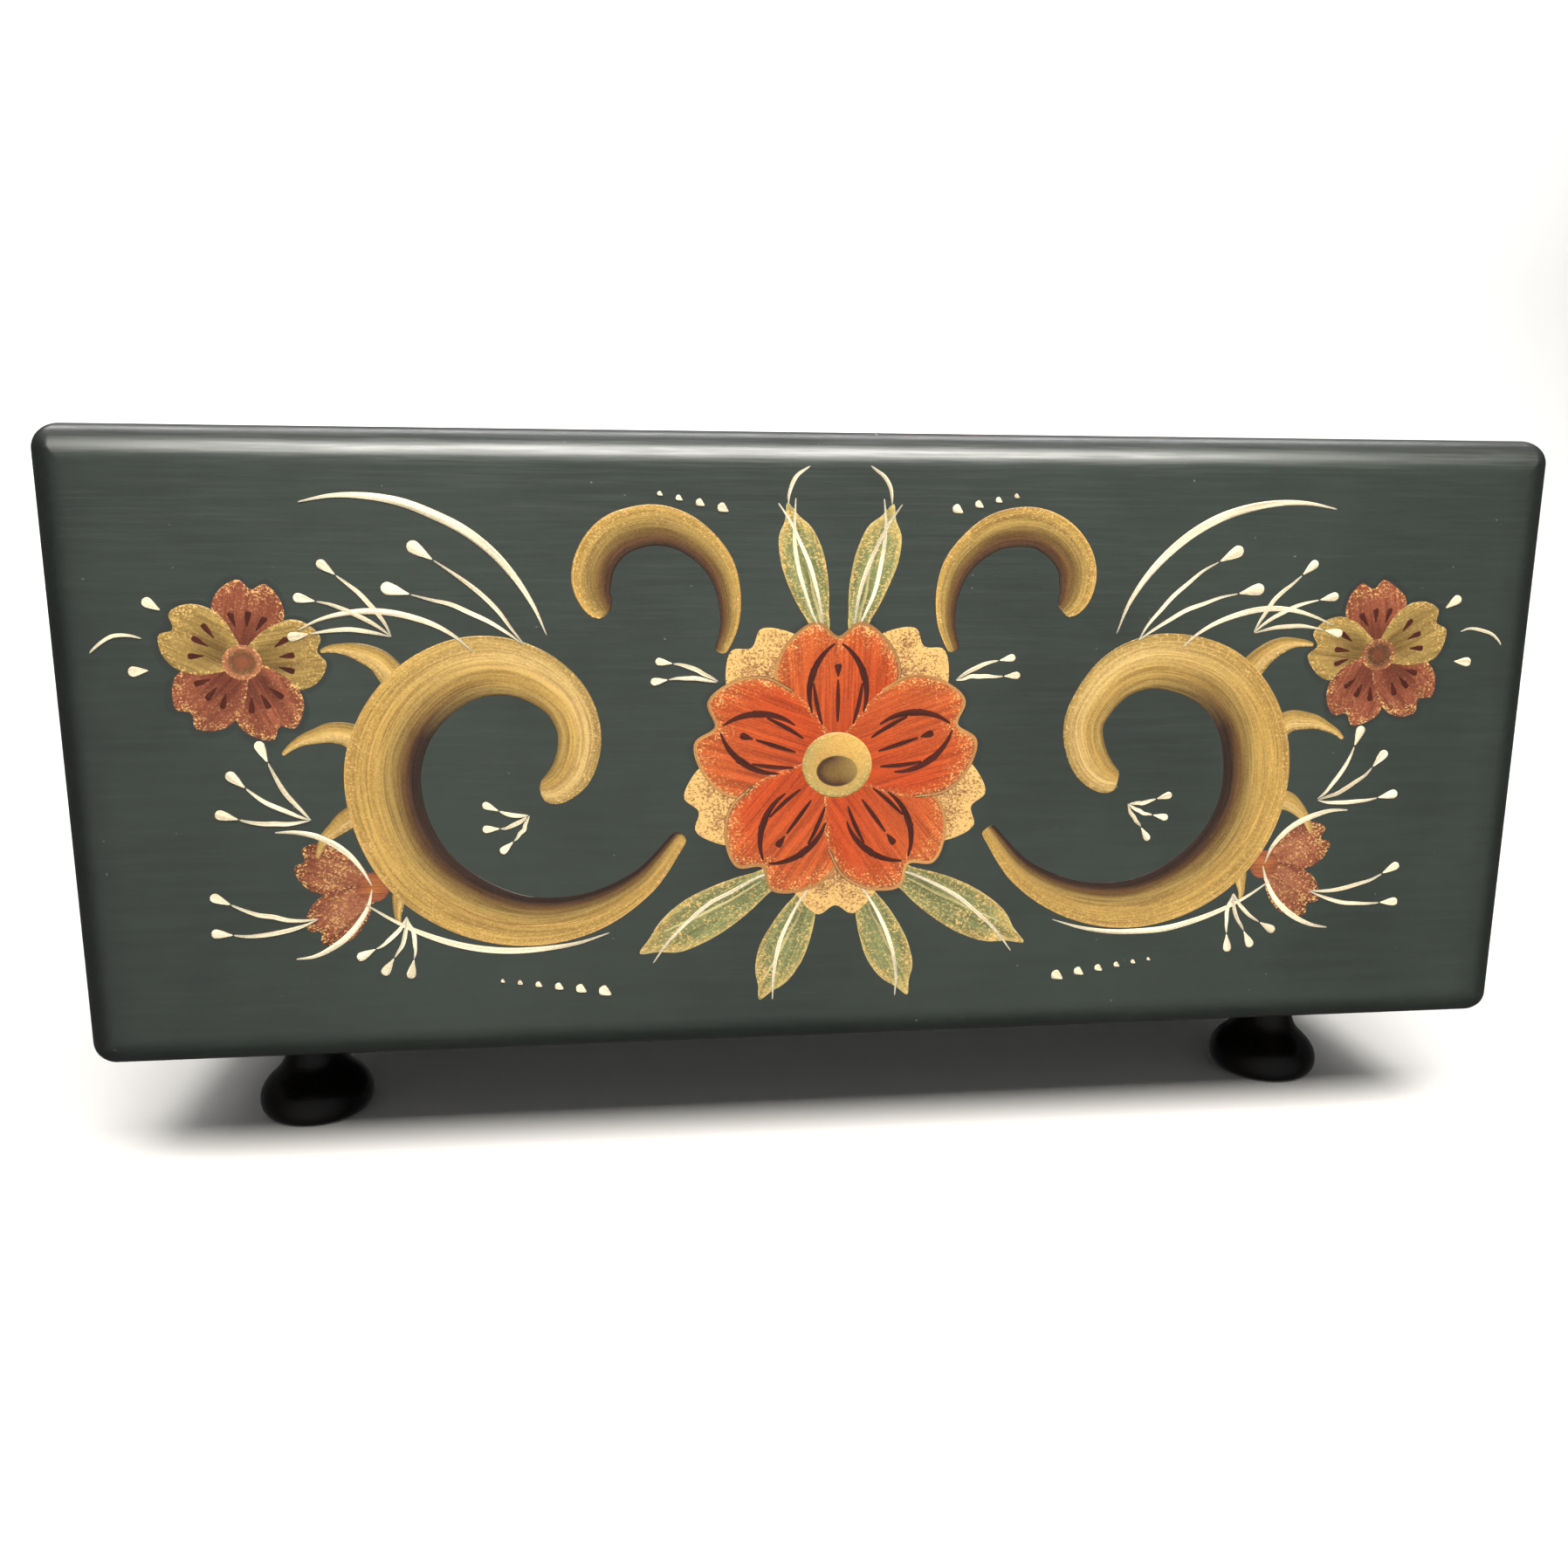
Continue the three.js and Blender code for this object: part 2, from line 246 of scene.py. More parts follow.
def brush_paint():
    """Every decorative colour. The strokes carry their own tint, brush run, cover and glint."""
    s = Shader("folk_brushwork")
    ground, _, _ = green_ground(s, ALONG_X)
    run = s.attribute("brush")
    hairs = s.noise(s.stretch(run, (0.06, 2.6, 1.0)), 1.0, 4, 0.6)
    bands = s.noise(s.stretch(run, (0.04, 0.6, 1.0)), 1.0, 2, 0.5)
    place = s.place()
    tooth = s.noise(s.stretch(place, (1700, 1700, 2300)), 1.0, 3, 0.65)
    patches = s.noise(place, 190, 2, 0.5)
    load = s.math("ADD", s.math("MULTIPLY", hairs, 0.45), s.math("MULTIPLY", bands, 0.3))
    load = s.math("ADD", load, s.math("MULTIPLY", tooth, 0.25))
    tint = s.attribute("tint")
    dark = s.mix(1.0, tint, (0.44, 0.39, 0.35), "MULTIPLY")
    light = s.mix(1.0, tint, (0.94, 0.93, 0.9), "MULTIPLY")
    base = s.mix(s.span(load, 0.36, 0.64), dark, light)
    glint = s.attribute("glint", "Fac")
    spark = s.math("ADD", tooth, s.math("MULTIPLY", glint, 0.3))
    spark = s.math("ADD", spark, s.math("MULTIPLY", s.math("SUBTRACT", patches, 0.5), 0.25))
    spark = s.math("MULTIPLY", s.span(spark, 0.58, 0.74), s.span(glint, 0.0, 0.2, 0.0, 0.85))
    base = s.mix(spark, base, colour("cda765"))
    cover = s.attribute("cover", "Fac")
    grab = s.math("ADD", s.math("MULTIPLY", hairs, 0.55), s.math("MULTIPLY", tooth, 0.45))
    bare = s.math("SUBTRACT", cover, s.math("MULTIPLY", grab, 0.9))
    shown = s.span(bare, 0.0, 0.12)
    base = s.mix(shown, ground, base)
    height = s.math("ADD", s.math("MULTIPLY", hairs, 0.7), s.math("MULTIPLY", tooth, 0.3))
    return s.finish(base, s.span(tooth, 0.3, 0.7, 0.3, 0.42), height, 0.00008, specular_ior_level=0.4)


def soft_shade():
    """A thin dark glaze around the flowers, fading out into the green."""
    s = Shader("glaze")
    ground, roughness, height = green_ground(s, ALONG_X)
    cover = s.attribute("cover", "Fac")
    base = s.mix(s.span(cover, 0.0, 1.0, 0.0, 0.75), ground, colour("161b17"))
    return s.finish(base, roughness, height, 0.00005, specular_ior_level=0.9)


# ---------------------------------------------------------------- meshes


def piece(name, vertices, faces, material, smooth_angle=35.0, fields=None):
    """A new object at the origin, from vertices in metres, riding on the one body."""
    mesh = bpy.data.meshes.new(name)
    mesh.from_pydata([tuple(v) for v in vertices], [], faces)
    mesh.validate()
    for field, values in (fields or {}).items():
        kind = "FLOAT_VECTOR" if np.ndim(values) == 2 else "FLOAT"
        made = mesh.attributes.new(field, kind, "POINT")
        flat = np.asarray(values, np.float32).ravel()
        made.data.foreach_set("vector" if kind == "FLOAT_VECTOR" else "value", flat)
    mesh.materials.append(material)
    mesh.polygons.foreach_set("use_smooth", [True] * len(mesh.polygons))
    mesh.set_sharp_from_angle(angle=math.radians(smooth_angle))
    made = bpy.data.objects.new(name, mesh)
    bpy.context.scene.collection.objects.link(made)
    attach(made, "root")
    return made


def bridged(loops):
    """Vertices and faces of a skin drawn over equal loops of points, with both ends closed."""
    size = len(loops[0])
    vertices = [point for loop in loops for point in loop]
    faces = []
    for row in range(len(loops) - 1):
        for i in range(size):
            j = (i + 1) % size
            a, b = row * size, (row + 1) * size
            faces.append((a + i, a + j, b + j, b + i))
    last = (len(loops) - 1) * size
    faces.append(tuple(reversed(range(size))))
    faces.append(tuple(last + i for i in range(size)))
    return vertices, faces


def turned_loops(profile, centre, steps):
    """Rings for a piece turned about an upright axis."""
    angles = [2 * math.pi * i / steps for i in range(steps)]
    return [
        [(centre[0] + r * math.cos(a), centre[1] + r * math.sin(a), centre[2] + h) for a in angles]
        for r, h in profile
    ]


# ---------------------------------------------------------------- smooth curves


def smooth(points, closed=False, spacing=1.2, least=8):
    """A curve through all the points, evenly sampled. Extra columns, such as a width, are carried along."""
    p = np.array(points, float)
    if closed:
        p = np.vstack([p[-1:], p, p[:2]])
    gaps = np.linalg.norm(np.diff(p[:, :2], axis=0), axis=1)
    t = np.concatenate([[0.0], np.cumsum(gaps)])
    slopes = np.gradient(p, t, axis=0)
    first, last = (t[1], t[-2]) if closed else (t[0], t[-1])
    count = max(least, int((last - first) / spacing))
    at = np.linspace(first, last, count + 1)
    if closed:
        at = at[:-1]
    i = np.clip(np.searchsorted(t, at, side="right") - 1, 0, len(t) - 2)
    h = (t[i + 1] - t[i])[:, None]
    u = (at - t[i])[:, None] / h
    return (
        p[i] * (2 * u**3 - 3 * u**2 + 1)
        + slopes[i] * h * (u**3 - 2 * u**2 + u)
        + p[i + 1] * (3 * u**2 - 2 * u**3)
        + slopes[i + 1] * h * (u**3 - u**2)
    )


def blend_tones(stops, where):
    """Colours read off a list of (place, colour) stops."""
    places = [s[0] for s in stops]
    channels = [np.interp(where, places, [s[1][c] for s in stops]) for c in range(3)]
    return np.stack(channels, -1)


def tones_along(stations, across, along):
    """Colours across a stroke that change along it: stations are (along, stops), or one list of stops."""
    if not isinstance(stations[0][1], list):
        return blend_tones(stations, across)
    rows = [blend_tones(stops, across) for _, stops in stations]
    places = [s[0] for s in stations]
    tint = np.zeros((len(along), 3))
    for k, row in enumerate(rows):
        share = np.interp(along, places, [float(i == k) for i in range(len(rows))])
        tint += row * share[:, None]
    return tint


# ---------------------------------------------------------------- brush strokes

SUNK = 0.08  # how deep a stroke's edge sits in the board, in mm
STEP = 0.006  # each next stroke of a piece lies this much higher, in mm
LINER_LOAD = 0.8  # share of a line's drawn half width that the cream covers
FLAT = 0.004  # how much a broad stroke swells in its middle, in mm
LINE_ROWS = 7  # points across a fine line or a teardrop
PETAL_RINGS = 9  # rings of points between a petal's focus and its rim
FULL_COVER = 1.3  # paint load in the middle of a stroke
SEED_PER_STROKE = 7.3  # moves each stroke's brush marks on from the last one's
SEED_PER_LAYER = 31


def winding(rim):
    """1 where the outline runs counter-clockwise, -1 where it runs clockwise."""
    area = np.sum(rim[:, 0] * np.roll(rim[:, 1], -1) - np.roll(rim[:, 0], -1) * rim[:, 1])
    return 1 if area > 0 else -1


def padded(values, last):
    """values with two more at the end, for the closing points of a stroke: the first, and the one at last."""
    return np.concatenate([values, values[:1], values[[last]]])


class Brushwork:
    """Strokes that make one piece. Each next stroke lies a hair higher than the one before."""

    def __init__(self, name, layer, step=STEP):
        self.name = name
        self.layer = layer
        self.step = step
        self.vertices, self.faces = [], []
        self.tint, self.brush, self.cover, self.glint = [], [], [], []
        self.strokes = 0

    def lay(self, points, faces, tint, brush, cover, glint):
        """points are (x, z, height) rows in board millimetres."""
        start = len(self.vertices)
        mid = (BOARD_LOW.x + BOARD_HIGH.x) / 2
        for x, z, height in points:
            self.vertices.append((mid + x * MM, BOARD_LOW.y - height * MM, BOARD_LOW.z + z * MM))
        self.faces.extend(tuple(start + i for i in face) for face in faces)
        self.tint.extend(tint)
        self.brush.extend(brush)
        self.cover.extend(cover)
        self.glint.extend(glint)
        self.strokes += 1

    def level(self):
        return self.layer + self.step * self.strokes

    def seed(self):
        return self.strokes * SEED_PER_STROKE + self.layer * SEED_PER_LAYER

    def ribbon(self, points, tones, crown=FLAT, rows=9, dry=0.0, ragged=0.0, glint=(0, 0, 0), spacing=0.9):
        """A stroke along points of (x, z, half width). tones run from its right edge, -1, to its left, 1.

        dry thins the paint towards the end and ragged towards the edges. glint is for the right edge, the
        middle and the left edge.
        """
        line = smooth(points, spacing=spacing)
        tangent = np.gradient(line[:, :2], axis=0)
        tangent /= np.linalg.norm(tangent, axis=1)[:, None]
        normal = np.stack([-tangent[:, 1], tangent[:, 0]], -1)
        run = np.concatenate([[0], np.cumsum(np.linalg.norm(np.diff(line[:, :2], axis=0), axis=1))])
        width = np.maximum(line[:, 2], 0.05)
        left = np.minimum(run, run[-1] - run)
        cap = np.clip(left / np.maximum(width, 1e-6), 0, 1)
        width = width * np.sqrt(np.maximum(1 - (1 - cap) ** 2, 0.0))
        side = np.sin(np.linspace(-math.pi / 2, math.pi / 2, rows))
        body = slice(1, len(line) - 1)
        centres, normals, widths, runs = line[body, :2], normal[body], width[body], run[body]
        grid = centres[:, None, :] + normals[:, None, :] * (widths[:, None] * side[None, :])[..., None]
        rise = self.level() + crown * np.minimum(1, widths / 1.2)[:, None] * (1 - side[None, :] ** 2)
        rise = np.where(abs(side)[None, :] > 0.999, -SUNK, rise)
        points_out = np.concatenate([grid, rise[..., None]], -1).reshape(-1, 3)
        n, m = len(centres), rows
        ends = np.array([[*line[0, :2], -SUNK], [*line[-1, :2], -SUNK]])
        points_out = np.vstack([points_out, ends])
        faces = []
        for i in range(n - 1):
            for j in range(m - 1):
                faces.append((i * m + j, (i + 1) * m + j, (i + 1) * m + j + 1, i * m + j + 1))
            faces.append((i * m + m - 1, (i + 1) * m + m - 1, (i + 1) * m, i * m))
        first, last = n * m, n * m + 1
        for j in range(m):
            k = (j + 1) % m
            faces.append((first, j, k))
            faces.append((last, (n - 1) * m + k, (n - 1) * m + j))
        s = np.tile(side, n)
        t = np.repeat(runs / run[-1], m)
        tint = tones_along(tones, s, t)
        most = widths.max()
        brush = np.stack([np.repeat(runs, m), s * most, np.full(n * m, self.seed())], -1)
        cover = FULL_COVER - ragged * np.abs(s) ** 3 - dry * np.clip(t * 1.6 - 0.6, 0, 1)
        shine = np.interp(s, [-1, 0, 1], glint)
        fields = [padded(values, -1) for values in (tint, brush, cover, shine)]
        self.lay(points_out, faces, *fields)

    def petal(self, focus, outline, tones, ragged=0.15, glint=(0, 0, 0), light=None):
        """A filled shape inside outline, brushed outwards from focus. tones and glint run from focus to rim.

        light is a (colour, direction in degrees) glow on one side.
        """
        rings = PETAL_RINGS
        rim = smooth(outline, closed=True, spacing=1.0)
        focus = np.array(focus, float)
        reach = rim - focus
        n = len(rim)
        share = np.sin(np.linspace(0, math.pi / 2, rings + 1))[1:]
        grid = focus + share[:, None, None] * reach[None]
        rise = self.level() + FLAT * (1 - share**4)
        rise[-1] = -SUNK
        heights = np.broadcast_to(rise[:, None, None], grid.shape[:2] + (1,))
        points_out = np.concatenate([grid, heights], -1).reshape(-1, 3)
        hub = [*focus, self.level() + FLAT]
        under = [*focus, -SUNK]
        points_out = np.vstack([points_out, hub, under])
        turn = winding(rim)
        faces = []
        for k in range(rings - 1):
            for i in range(n):
                j = (i + 1) % n
                a, b = k * n, (k + 1) * n
                faces.append((a + i, b + i, b + j, a + j)[::turn])
        top, bottom, outer = rings * n, rings * n + 1, (rings - 1) * n
        for i in range(n):
            j = (i + 1) % n
            faces.append((top, i, j)[::turn])
            faces.append((bottom, outer + j, outer + i)[::turn])
        r = np.repeat(share, n)
        tint = blend_tones(tones, r)
        length = np.linalg.norm(reach, axis=1)
        if light is not None:
            glow, bearing = light
            way = np.array([math.cos(math.radians(bearing)), math.sin(math.radians(bearing))])
            facing = np.clip((reach @ way) / length.max(), 0, 1)
            amount = (np.tile(facing, rings) * r)[:, None]
            tint = tint * (1 - amount) + np.array(glow) * amount
        axis = rim.mean(0) - focus
        axis /= max(np.linalg.norm(axis), 1e-6)
        along = (grid - focus).reshape(-1, 2) @ axis
        across = (grid - focus).reshape(-1, 2) @ np.array([-axis[1], axis[0]])
        brush = np.stack([along, across * (1 - 0.006 * along), np.full(rings * n, self.seed())], -1)
        cover = FULL_COVER - ragged * r**6
        shine = np.interp(r, [0, 0.78, 1], glint)
        fields = [padded(values, 0) for values in (tint, brush, cover, shine)]
        self.lay(points_out, faces, *fields)

    def halo(self, focus, outline, spread=3.0):
        """A glaze around outline that fades over spread millimetres."""
        rim = smooth(outline, closed=True, spacing=1.5)
        focus = np.array(focus, float)
        reach = rim - focus
        length = np.linalg.norm(reach, axis=1)[:, None]
        out = reach / length
        n = len(rim)
        places = [-1.0, 0.0, 0.25, 0.5, 0.75, 1.0]
        loops = [rim + out * (spread * k) for k in places]
        turn = winding(rim)
        points_out, cover = [], []
        for k, loop in zip(places, loops):
            edge = k in (places[0], places[-1])
            height = -SUNK if edge else self.level()
            points_out.extend((x, z, height) for x, z in loop)
            cover.extend([float(np.clip(1 - k, 0, 1))] * n)
        faces = []
        count = len(places)
        for k in range(count):
            a, b = k * n, ((k + 1) % count) * n
            for i in range(n):
                j = (i + 1) % n
                faces.append((a + i, b + i, b + j, a + j)[::turn])
        total = len(points_out)
        flat = np.zeros((total, 3))
        self.lay(points_out, faces, flat, flat, cover, np.zeros(total))

    def drop(self, head, tail, half, tone=None, crown=0.16):
        """A teardrop: the brush is pressed at head and lifted towards tail."""
        a, b = np.array(head, float), np.array(tail, float)
        stops = [(0.0, half * 0.75), (0.18, half), (0.45, half * 0.85), (0.8, half * 0.35), (1.0, 0.12)]
        points = [(*(a + (b - a) * k), w) for k, w in stops]
        self.ribbon(points, flat_tone(tone or CREAM), crown=crown, rows=LINE_ROWS, spacing=0.35)

    def liner(self, points, tone=None, crown=0.1, dry=0.0, ragged=0.0):
        """A fine line; points are (x, z, half width). Cream turns greyer where the line is thin."""
        tones = flat_tone(tone)
        if tone is None:
            points = [(x, z, half * LINER_LOAD) for x, z, half in points]
            last = len(points) - 1
            shares = [min(1, max(0, (half - 0.12) / 0.5)) for _, _, half in points]
            tones = [
                (k / last, flat_tone(tuple(c * share + d * (1 - share) for c, d in zip(CREAM, CREAM_THIN))))
                for k, share in enumerate(shares)
            ]
        self.ribbon(points, tones, crown=crown, rows=LINE_ROWS, dry=dry, spacing=0.7, ragged=ragged)

    def dot(self, centre, radius):
        x, z = centre
        head = (x - radius * 0.6, z + radius * 0.35)
        tail = (x + radius * 1.1, z - radius * 0.7)
        self.drop(head, tail, radius * 0.8)

    def done(self, material):
        fields = {"tint": self.tint, "brush": self.brush, "cover": self.cover, "glint": self.glint}
        piece(self.name, self.vertices, self.faces, material, 60.0, fields)


def flat_tone(tone):
    return [(-1, tone), (1, tone)]


CREAM = colour("f3e9cb")
CREAM_THIN = colour("b9b7a4")
OCHRE = colour("9c8246")
OCHRE_DEEP = colour("745a2c")
OCHRE_FAIR = colour("b5934c")
SAND = colour("cdae6e")
GOLD = colour("c09b55")
YELLOW = colour("b39f5e")
UMBER = colour("33221a")
BROWN = colour("5f4024")
RIM = colour("b8854c")
BRONZE = colour("a3794a")
HONEY = colour("e0b560")
AMBER_DEEP = colour("b06a2e")
OLIVE = colour("565f3c")
LEAF = colour("7d8455")
LEAF_PALE = colour("b9b17c")
RUST = colour("8a4a32")
RUST_DEEP = colour("68321f")
ROSE = colour("9c6243")
ORANGE = colour("b8430c")
ORANGE_DEEP = colour("94350c")
AMBER = colour("bf5c26")
LINE = colour("4a1809")

brushwork = brush_paint()
glaze = soft_shade()


# ---------------------------------------------------------------- the woodwork


def rounded_loop(width, height, corner, inset, y, centre, steps):
    """A rounded rectangle in X and Z, drawn in by inset, at depth y."""
    radius = max(corner - inset, 0.5 * MM)
    loop = []
    for quarter, (sx, sz) in enumerate([(1, 1), (-1, 1), (-1, -1), (1, -1)]):
        for step in range(steps + 1):
            a = (quarter + step / steps) * math.pi / 2
            x = centre.x + sx * (width / 2 - inset - radius) + radius * math.cos(a)
            z = centre.z + sz * (height / 2 - inset - radius) + radius * math.sin(a)
            loop.append((x, y, z))
    return loop


CORNER = 6.5 * MM
FACE_ROUND = 9.5 * MM
ROUND_STEPS = 14


def long_board(name, outward, material):
    """A long board with a quarter-round run round its outer face, which looks along outward * Y."""
    low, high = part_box(name)
    centre = (low + high) / 2
    width, height = high.x - low.x, high.z - low.z
    outer, inner = (low.y, high.y) if outward < 0 else (high.y, low.y)
    ease = 0.4 * MM
    loops = []
    for step in range(ROUND_STEPS + 1):
        a = step / ROUND_STEPS * math.pi / 2
        inset = FACE_ROUND * (1 - math.sin(a))
        y = outer - outward * FACE_ROUND * (1 - math.cos(a))
        loops.append(rounded_loop(width, height, CORNER, inset, y, centre, ROUND_STEPS))
    for inset, y in [(0, inner + outward * ease), (ease, inner)]:
        loops.append(rounded_loop(width, height, CORNER, inset, y, centre, ROUND_STEPS))
    if outward > 0:
        loops.reverse()
    vertices, faces = bridged(loops)
    made = piece(name + "_painted", vertices, faces, material)
    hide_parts(name)


def end_board(name, side, material):
    """An end board between the long boards, rounded outside, eased at the rim inside."""
    low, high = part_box(name)
    inner, outer = (low.x, high.x) if side > 0 else (high.x, low.x)
    rim = 3 * MM
    corners = [
        (inner + side * 0.3 * MM, low.z + 0.3 * MM, 0.3 * MM, 180, 270),
        (outer - side * CORNER, low.z + CORNER, CORNER, 270, 360),
        (outer - side * CORNER, high.z - CORNER, CORNER, 0, 90),
        (inner + side * rim, high.z - rim, rim, 90, 180),
    ]
    section = []
    for x, z, radius, start, stop in corners:
        for step in range(ROUND_STEPS + 1):
            a = math.radians(start + (stop - start) * step / ROUND_STEPS)
            section.append((x + side * radius * math.cos(a), z + radius * math.sin(a)))
    shown = 0.15 * MM  # a hairline at the joint with each long board
    loops = [[(x, y, z) for x, z in section] for y in (low.y + shown, high.y - shown)]
    if side < 0:
        loops.reverse()
    vertices, faces = bridged(loops)
    made = piece(name + "_painted", vertices, faces, material)
    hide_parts(name)


# (radius, height) up the turned foot, in millimetres
FOOT_PROFILE = [
    (13.4, 0),
    (14.4, 0.25),
    (15.3, 0.9),
    (16.0, 2.1),
    (16.35, 3.4),
    (16.4, 4.6),
    (16.2, 6.2),
    (15.6, 7.8),
    (14.6, 9.4),
    (13.1, 11.1),
    (11.4, 12.7),
    (9.9, 14.5),
    (8.8, 16.8),
    (8.2, 19.5),
    (8.1, 22.5),
    (8.5, 25.5),
    (9.4, 28.2),
    (10.8, 30.6),
    (11.4, 31.2),
    (12.4, 32.2),
    (12.8, 33.8),
    (12.4, 35.4),
    (11.5, 36.2),
    (11.5, 38.9),
]


def foot(name, material):
    low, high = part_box(name)
    centre = ((low.x + high.x) / 2, (low.y + high.y) / 2, low.z)
    scale = (high.x - low.x) / 2 / max(r for r, _ in FOOT_PROFILE)
    profile = [(r * scale, h * scale) for r, h in FOOT_PROFILE]
    profile = [(max(r, 0), h) for r, h, *_ in smooth_profile(profile)]
    vertices, faces = bridged(turned_loops(profile, centre, 96))
    made = piece(name + "_turned", vertices, faces, material, 50.0)
    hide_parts(name)


def smooth_profile(profile):
    """The turned outline with its softer curves filled in."""
    points = [(r, h, 0) for r, h in profile]
    return smooth(points, spacing=0.4 * MM)


def paint_cad(prefix, material):
    """Gives the CAD nodes whose names start with prefix a finished material."""
    for name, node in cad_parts.items():
        if name.startswith(prefix):
            node.data.materials.clear()
            node.data.materials.append(material)


def woodwork():
    lengthwise = green_paint("green_lengthwise", ALONG_X, True)
    crosswise = green_paint("green_crosswise", ALONG_Y, False)
    long_board("front_board", -1, lengthwise)
    long_board("back_board", 1, lengthwise)
    end_board("right_end_board", 1, crosswise)
    end_board("left_end_board", -1, crosswise)
    gloss = black_paint()
    for corner in ("front_left", "front_right", "back_left", "back_right"):
        foot("foot_" + corner, gloss)
    paint_cad("bottom_panel", lengthwise)
    brass = old_brass()
    paint_cad("foot_screw", brass)
    paint_cad("foot_washer", brass)
    paint_cad("dowel", bare_wood())


# ---------------------------------------------------------------- the decoration
# A design of its own in the general rosemaling manner: one flower in the middle, and on either side a
# C-scroll, a curl, a small flower, a bud and sprays. It is laid out for the right half and repeated on the
# left. Lengths are board millimetres, x from the middle and z up from the board's lower edge, and angles are
# degrees, from the x axis.

SIDES = (1, -1)
FLOWER = (0, 78)
SCROLL = (82, 80)
CURL = (52, 122)
SIDE_FLOWER = (148, 106)
BUD = (120, 48)

PETALS = 5
PETAL = (37, 16)  # length and half width
SIDE_PETAL = (20, 8.6)
PETAL_EDGE = [(0.0, 0.12), (0.2, 0.6), (0.45, 0.93), (0.7, 1.0), (0.9, 0.74), (1.0, 0.34)]
LEAF_TIP = -0.12  # a leaf's tip stands this share of its length beyond its edge, where a petal has a notch

SWAY = 0.12  # how far the hand strays from the drawn line
hand = np.random.default_rng(11)


def placed(points, side):
    """Points of the right half carried to the side asked for, by a hand that isn't quite exact."""
    sway = hand.normal(0, SWAY, (len(points), 2))
    return [(side * (p[0] + dx), p[1] + dz, *p[2:]) for p, (dx, dz) in zip(points, sway)]


def facing(tones, side):
    """Tones across a stroke, turned over on the left, where the stroke's two edges change places."""
    if side > 0:
        return tones
    if isinstance(tones[0][1], list):
        return [(at, facing(stops, side)) for at, stops in tones]
    return [(-place, tone) for place, tone in reversed(tones)]


def ring(centre, rx, rz, count=10):
    angles = [2 * math.pi * i / count for i in range(count)]
    return [(centre[0] + rx * math.cos(a), centre[1] + rz * math.sin(a)) for a in angles]


def curl(centre, start, turn, radii, halves, count=15):
    """A stroke that winds about centre; radii and half widths are read evenly along it."""
    share = np.linspace(0, 1, count)
    angles = np.radians(start + turn * share)
    reach = np.interp(share, np.linspace(0, 1, len(radii)), radii)
    half = np.interp(share, np.linspace(0, 1, len(halves)), halves)
    return [
        (centre[0] + r * math.cos(a), centre[1] + r * math.sin(a), h) for r, a, h in zip(reach, angles, half)
    ]


def bent(root, heading, length, bend, half=0.55, count=7):
    """A line from root that swells in the middle and bends evenly by bend degrees."""
    x, z = root
    points = [(x, z, 0.15)]
    for k in range(1, count):
        way = math.radians(heading + bend * k / (count - 1))
        x += length / (count - 1) * math.cos(way)
        z += length / (count - 1) * math.sin(way)
        points.append((x, z, 0.2 + half * math.sin(math.pi * k / (count - 1))))
    return points


def petal_outline(base, heading, length, half, notch=0.1):
    """A rounded petal that grows from base, with a shallow notch at its tip."""
    edge = PETAL_EDGE + [(1 - notch, 0)] + [(along, -across) for along, across in reversed(PETAL_EDGE)]
    c, s = math.cos(math.radians(heading)), math.sin(math.radians(heading))
    return [
        (base[0] + length * along * c - half * across * s, base[1] + length * along * s + half * across * c)
        for along, across in edge
    ]


def step_from(base, heading, distance):
    """The point that lies distance from base."""
    way = math.radians(heading)
    return base[0] + distance * math.cos(way), base[1] + distance * math.sin(way)


def headings(first, count):
    return [first + 360 * k / count for k in range(count)]


def glazes():
    work = Brushwork("shadow_glaze", 0.004, 0.0004)
    for heading in headings(90, PETALS):
        work.halo(step_from(FLOWER, heading, 6), petal_outline(FLOWER, heading, *PETAL))
    for side in SIDES:
        for heading in headings(100, PETALS):
            outline = placed(petal_outline(SIDE_FLOWER, heading, *SIDE_PETAL), side)
            x, z = step_from(SIDE_FLOWER, heading, 4)
            work.halo((side * x, z), outline, 2.4)
    work.done(glaze)


SHADED = [
    (-1, GOLD),
    (-0.8, OCHRE_FAIR),
    (-0.2, OCHRE_FAIR),
    (0.15, OCHRE),
    (0.4, OCHRE_DEEP),
    (0.58, BROWN),
    (0.75, UMBER),
    (1, UMBER),
]
PLAIN = [(-1, OCHRE), (-0.3, SAND), (0.3, OCHRE_FAIR), (0.8, OCHRE), (1, OCHRE_DEEP)]
CURL_TONES = [(-1, UMBER), (-0.6, BROWN), (-0.2, OCHRE_DEEP), (0.2, OCHRE), (0.8, OCHRE_FAIR), (1, GOLD)]
FEATHERS = [(-52, 15), (-24, 18), (4, 19), (32, 17)]  # heading from the scroll's centre, and length


def broad(work, points, side, tones, rows, ragged, glint, spacing):
    """A broad stroke of the right half, carried to the side asked for with its tones and glint."""
    line = placed(points, side)
    work.ribbon(line, facing(tones, side), rows=rows, ragged=ragged, glint=glint[::side], spacing=spacing)


def feather(heading, length):
    """A short comma off the scroll's outer side."""
    root = step_from(SCROLL, heading, 33)
    centre = step_from(root, heading - 40, length)
    return curl(centre, heading + 140, -95, [length, length * 0.8], [3.6, 3.4, 2.6, 1.4, 0.4], 9)


